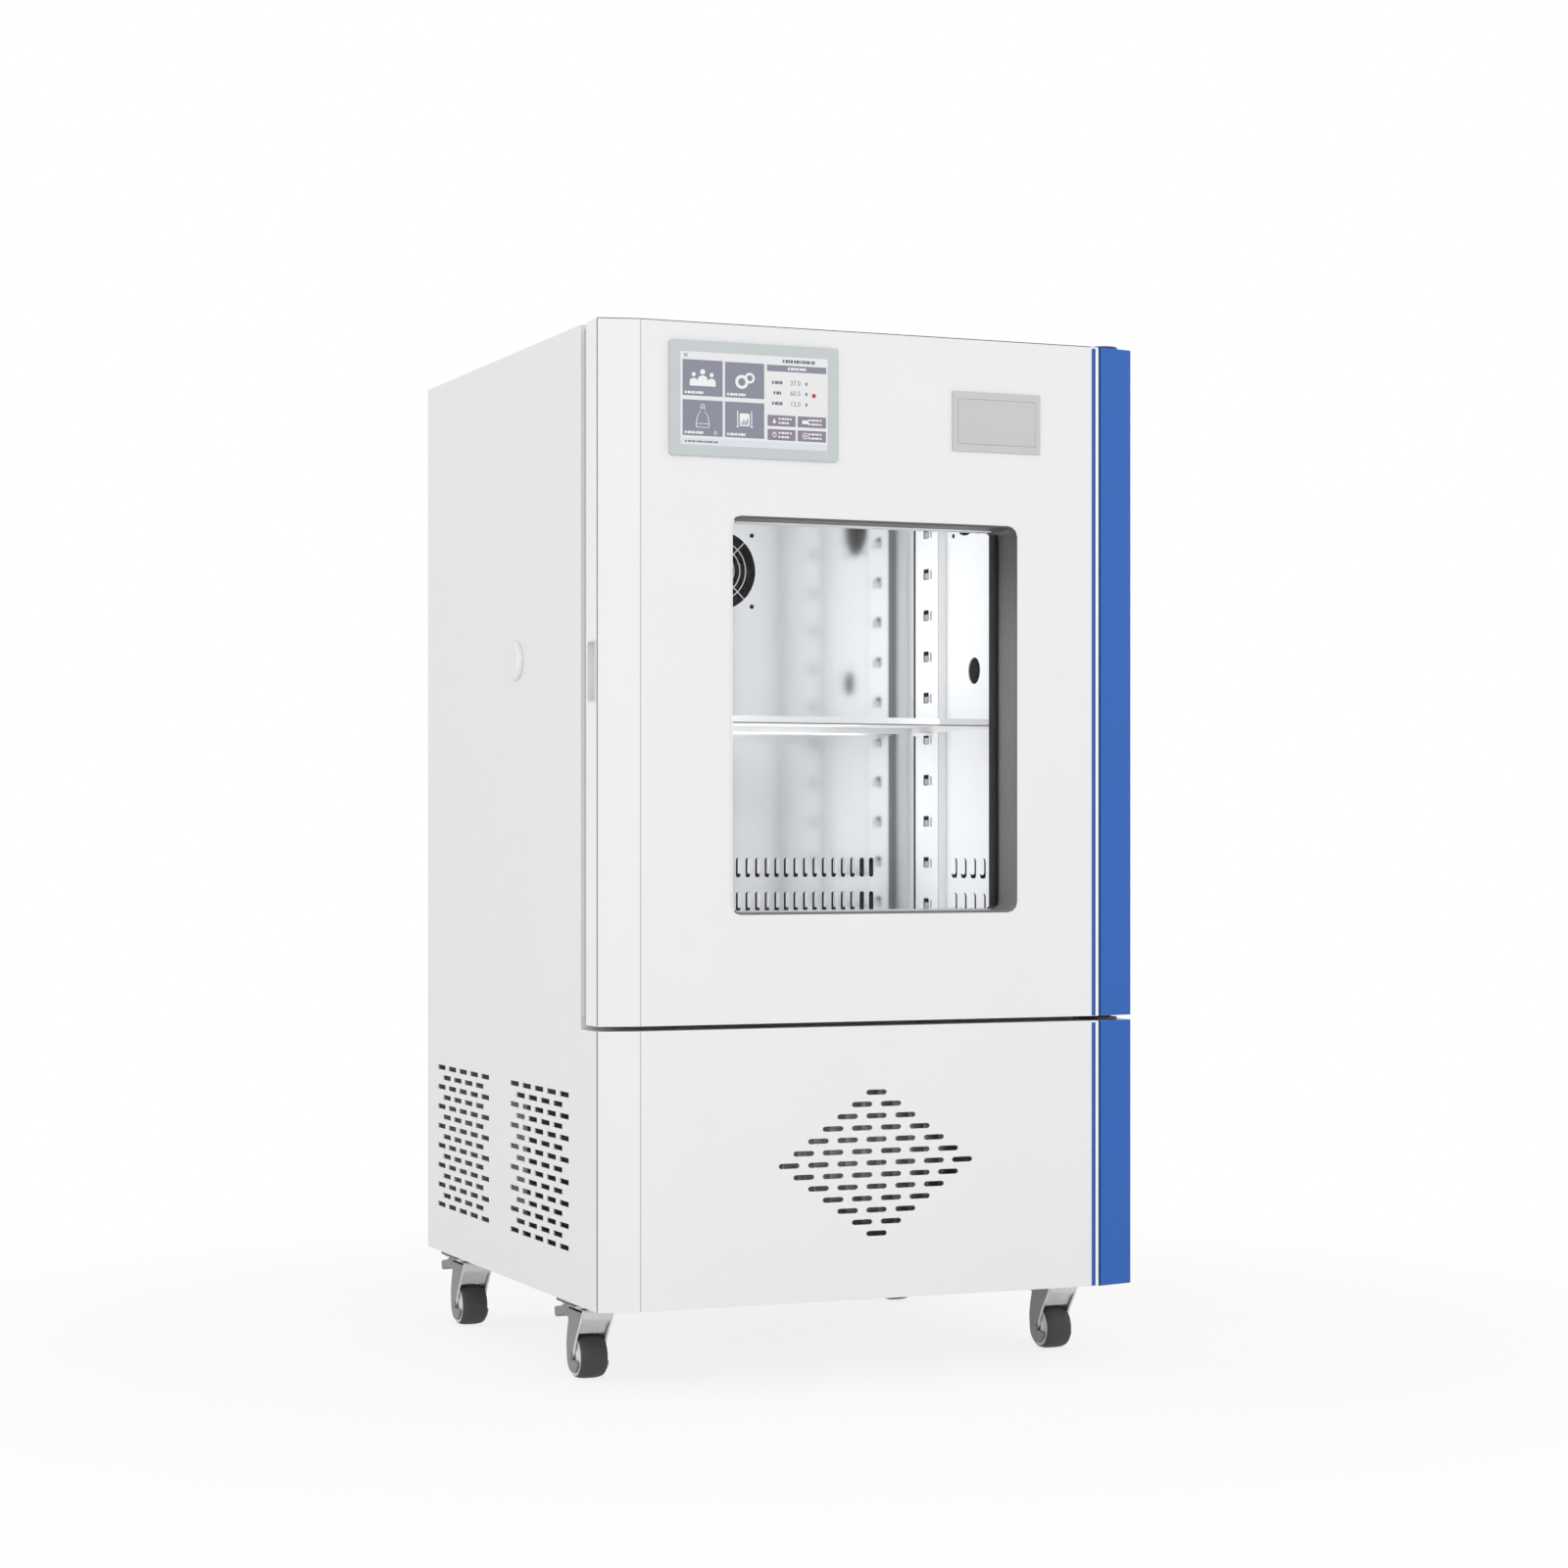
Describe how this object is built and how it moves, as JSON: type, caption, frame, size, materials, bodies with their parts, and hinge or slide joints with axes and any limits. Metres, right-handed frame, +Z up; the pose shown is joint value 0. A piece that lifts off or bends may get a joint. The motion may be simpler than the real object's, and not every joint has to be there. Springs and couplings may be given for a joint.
{
  "type": "biochemical incubator",
  "caption": "Insulated upright incubator cabinet on braked casters, with a side-hinged glazed door, touch screen, panel printer, fan-stirred steel chamber and a shelf.",
  "frame": {"origin": "on the floor under the middle of the cabinet, at the centre of the overall box", "axes": "+Z up, -Y out of the door, +X towards the door's hinges"},
  "size_m": [0.6786, 0.674, 1.1968],
  "materials": {
    "white_powder_coat": "off-white satin powder coat",
    "blue_trim": "semi-gloss blue paint",
    "mirror_steel": "polished stainless steel",
    "brushed_steel": "brushed stainless steel",
    "zinc_plate": "bright zinc plating",
    "dark_reveal": "dark grey satin paint",
    "bezel_grey": "fine-grained grey moulding",
    "display_glass": "glossy touch screen, lit",
    "window_glass": "clear double glazing",
    "seal_rubber": "soft grey magnetic seal",
    "tyre_rubber": "dark grey rubber tread",
    "black_plastic": "black glass-filled moulding",
    "white_plastic": "white moulding",
    "foam": "rigid polyurethane foam",
    "aluminium_fin": "plain aluminium fins",
    "black_enamel": "gloss black enamel"
  },
  "bodies": {
    "cabinet": {"side_panel_left": "white_powder_coat", "side_panel_right": "white_powder_coat", "top_panel": "white_powder_coat", "back_panel": "white_powder_coat", "base_tray": "zinc_plate", "lower_front_panel": "white_powder_coat", "lower_trim": "blue_trim", "front_frame": "white_powder_coat", "insulation_jacket": "foam", "chamber_liner": "mirror_steel", "duct_panel": "mirror_steel", "shelf_upright_left_front": "brushed_steel", "shelf_upright_left_rear": "brushed_steel", "shelf_upright_right_front": "brushed_steel", "shelf_upright_right_rear": "brushed_steel", "shelf": "brushed_steel", "rear_fan_frame": "black_plastic", "rear_fan_guard": "brushed_steel", "side_fan_frame": "black_plastic", "evaporator": "aluminium_fin", "heater_element": "brushed_steel", "compressor": "black_enamel", "condenser": "aluminium_fin", "condenser_fan_frame": "black_plastic", "control_box": "zinc_plate", "mains_inlet": "black_plastic", "upper_hinge": "zinc_plate", "lower_hinge": "zinc_plate", "caster_plate_front_left": "zinc_plate", "caster_plate_front_right": "zinc_plate", "caster_plate_rear_left": "zinc_plate", "caster_plate_rear_right": "zinc_plate"},
    "door": {"door_panel": "white_powder_coat", "door_trim": "blue_trim", "door_body": "white_powder_coat", "handle_cup": "white_plastic", "window_frame": "dark_reveal", "window_glass": "window_glass", "door_seal": "seal_rubber", "screen_bezel": "bezel_grey", "screen_display": "display_glass", "printer_frame": "bezel_grey"},
    "printer_flap": {"printer_cover": "bezel_grey"},
    "rear_fan": {"rear_fan_rotor": "black_plastic"},
    "side_fan": {"side_fan_rotor": "black_plastic"},
    "condenser_fan": {"condenser_fan_rotor": "black_plastic"},
    "plug_left": {"port_plug_left": "white_plastic"},
    "plug_right": {"port_plug_right": "white_plastic"},
    "swivel_front_left": {"caster_fork_front_left": "zinc_plate"},
    "wheel_front_left": {"caster_wheel_front_left": "tyre_rubber"},
    "brake_front_left": {"brake_pedal_front_left": "zinc_plate"},
    "swivel_front_right": {"caster_fork_front_right": "zinc_plate"},
    "wheel_front_right": {"caster_wheel_front_right": "tyre_rubber"},
    "brake_front_right": {"brake_pedal_front_right": "zinc_plate"},
    "swivel_rear_left": {"caster_fork_rear_left": "zinc_plate"},
    "wheel_rear_left": {"caster_wheel_rear_left": "tyre_rubber"},
    "brake_rear_left": {"brake_pedal_rear_left": "zinc_plate"},
    "swivel_rear_right": {"caster_fork_rear_right": "zinc_plate"},
    "wheel_rear_right": {"caster_wheel_rear_right": "tyre_rubber"},
    "brake_rear_right": {"brake_pedal_rear_right": "zinc_plate"}
  },
  "joints": [
    {"name": "door_hinge", "type": "hinge", "parent": "cabinet", "child": "door", "pos_m": [0.303, -0.309, 0.41], "axis": [0, 0, 1], "range_deg": [0, 120]},
    {"name": "printer_cover_hinge", "type": "hinge", "parent": "door", "child": "printer_flap", "pos_m": [0.1513, -0.3355, 1.0726], "axis": [1, 0, 0], "range_deg": [0, 95]},
    {"name": "rear_fan_spin", "type": "hinge", "parent": "cabinet", "child": "rear_fan", "pos_m": [0, 0.165, 0.9595], "axis": [0, 1, 0], "continuous": true},
    {"name": "side_fan_spin", "type": "hinge", "parent": "cabinet", "child": "side_fan", "pos_m": [0.2688, -0.012, 1.0365], "axis": [1, 0, 0], "continuous": true},
    {"name": "condenser_fan_spin", "type": "hinge", "parent": "cabinet", "child": "condenser_fan", "pos_m": [0, -0.178, 0.1953], "axis": [0, 1, 0], "continuous": true},
    {"name": "plug_left_slide", "type": "slide", "parent": "cabinet", "child": "plug_left", "axis": [-1, 0, 0], "range_m": [0, 0.06]},
    {"name": "plug_right_slide", "type": "slide", "parent": "cabinet", "child": "plug_right", "axis": [1, 0, 0], "range_m": [0, 0.06]},
    {"name": "swivel_front_left_turn", "type": "hinge", "parent": "cabinet", "child": "swivel_front_left", "pos_m": [-0.297, -0.2065, 0.0902], "axis": [0, 0, 1], "continuous": true},
    {"name": "wheel_front_left_roll", "type": "hinge", "parent": "swivel_front_left", "child": "wheel_front_left", "pos_m": [-0.297, -0.187, 0.0255], "axis": [1, 0, 0], "continuous": true},
    {"name": "brake_front_left_press", "type": "hinge", "parent": "swivel_front_left", "child": "brake_front_left", "pos_m": [-0.297, -0.1702, 0.081], "axis": [-1, 0, 0], "range_deg": [0, 12]},
    {"name": "swivel_front_right_turn", "type": "hinge", "parent": "cabinet", "child": "swivel_front_right", "pos_m": [0.297, -0.2065, 0.0902], "axis": [0, 0, 1], "continuous": true},
    {"name": "wheel_front_right_roll", "type": "hinge", "parent": "swivel_front_right", "child": "wheel_front_right", "pos_m": [0.297, -0.187, 0.0255], "axis": [1, 0, 0], "continuous": true},
    {"name": "brake_front_right_press", "type": "hinge", "parent": "swivel_front_right", "child": "brake_front_right", "pos_m": [0.297, -0.1702, 0.081], "axis": [-1, 0, 0], "range_deg": [0, 12]},
    {"name": "swivel_rear_left_turn", "type": "hinge", "parent": "cabinet", "child": "swivel_rear_left", "pos_m": [-0.297, 0.2485, 0.0902], "axis": [0, 0, 1], "continuous": true},
    {"name": "wheel_rear_left_roll", "type": "hinge", "parent": "swivel_rear_left", "child": "wheel_rear_left", "pos_m": [-0.297, 0.268, 0.0255], "axis": [1, 0, 0], "continuous": true},
    {"name": "brake_rear_left_press", "type": "hinge", "parent": "swivel_rear_left", "child": "brake_rear_left", "pos_m": [-0.297, 0.2848, 0.081], "axis": [-1, 0, 0], "range_deg": [0, 12]},
    {"name": "swivel_rear_right_turn", "type": "hinge", "parent": "cabinet", "child": "swivel_rear_right", "pos_m": [0.297, 0.2485, 0.0902], "axis": [0, 0, 1], "continuous": true},
    {"name": "wheel_rear_right_roll", "type": "hinge", "parent": "swivel_rear_right", "child": "wheel_rear_right", "pos_m": [0.297, 0.268, 0.0255], "axis": [1, 0, 0], "continuous": true},
    {"name": "brake_rear_right_press", "type": "hinge", "parent": "swivel_rear_right", "child": "brake_rear_right", "pos_m": [0.297, 0.2848, 0.081], "axis": [-1, 0, 0], "range_deg": [0, 12]}
  ]
}
